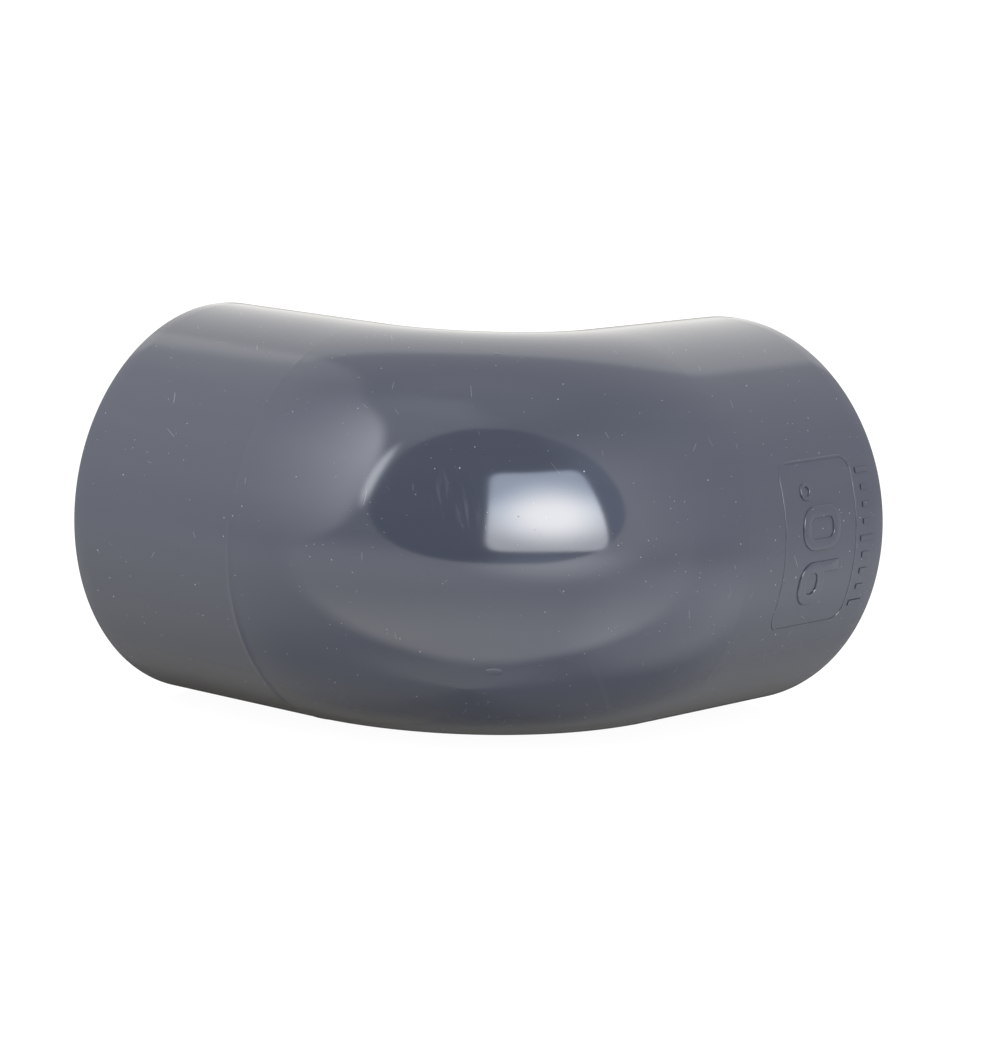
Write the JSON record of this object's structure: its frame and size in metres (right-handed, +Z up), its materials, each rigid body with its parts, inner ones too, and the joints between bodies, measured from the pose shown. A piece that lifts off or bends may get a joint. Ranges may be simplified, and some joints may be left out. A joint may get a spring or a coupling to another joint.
{
  "type": "pipe elbow",
  "caption": "Plain 90 degree short-radius elbow for 63 mm solvent-cemented pressure pipe, one moulding with a deep smooth socket at each end of the bend.",
  "frame": {"origin": "under the middle of the outline, on the surface that the elbow lies on, with the bend lying flat", "axes": "+X out of one socket, +Y out of the other socket, +Z up, square to the bend"},
  "size_m": [0.1086, 0.1089, 0.0752],
  "materials": {
    "grey_plastic": "glossy dark grey moulded plastic"
  },
  "bodies": {
    "root": {"elbow_body": "grey_plastic"}
  },
  "joints": []
}
